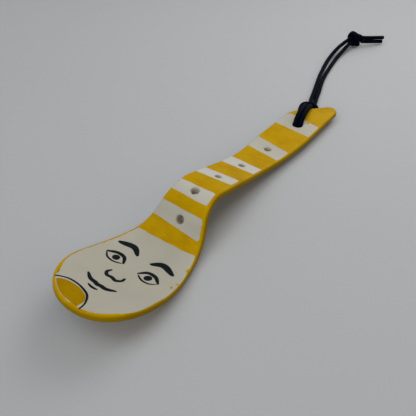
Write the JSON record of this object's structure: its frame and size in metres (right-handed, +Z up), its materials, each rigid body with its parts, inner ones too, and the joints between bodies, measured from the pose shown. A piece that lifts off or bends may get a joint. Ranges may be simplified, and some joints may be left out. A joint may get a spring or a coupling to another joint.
{
  "type": "face spoon wall hanging",
  "caption": "Ceramic spoon-shaped wall hanging, draped from one clay slab, with a painted face in its bowl, punched holes down the handle and a knotted leather hanging loop.",
  "frame": {"origin": "under the middle of the spoon's bounding box, on the surface that it lies on", "axes": "+X from the chin of the bowl to the hanging end, +Y to the left side, +Z up, away from the surface"},
  "size_m": [0.457, 0.076, 0.0304],
  "materials": {
    "glazed_spoon": "soft gloss glaze in warm white, hand-painted with yellow and black",
    "leather_cord": "smooth blue-black round leather cord, satin"
  },
  "bodies": {
    "spoon": {"spoon": "glazed_spoon", "cord_hitch": "leather_cord"},
    "cord": {"cord_strand_left": "leather_cord", "cord_strand_right": "leather_cord", "cord_knot": "leather_cord", "cord_end_long": "leather_cord", "cord_end_short": "leather_cord"}
  },
  "joints": [
    {"name": "cord_swing", "type": "hinge", "parent": "spoon", "child": "cord", "pos_m": [0.14724, 0.00954, 0.002], "axis": [0, 0, 1], "range_deg": [-45, 90]}
  ]
}
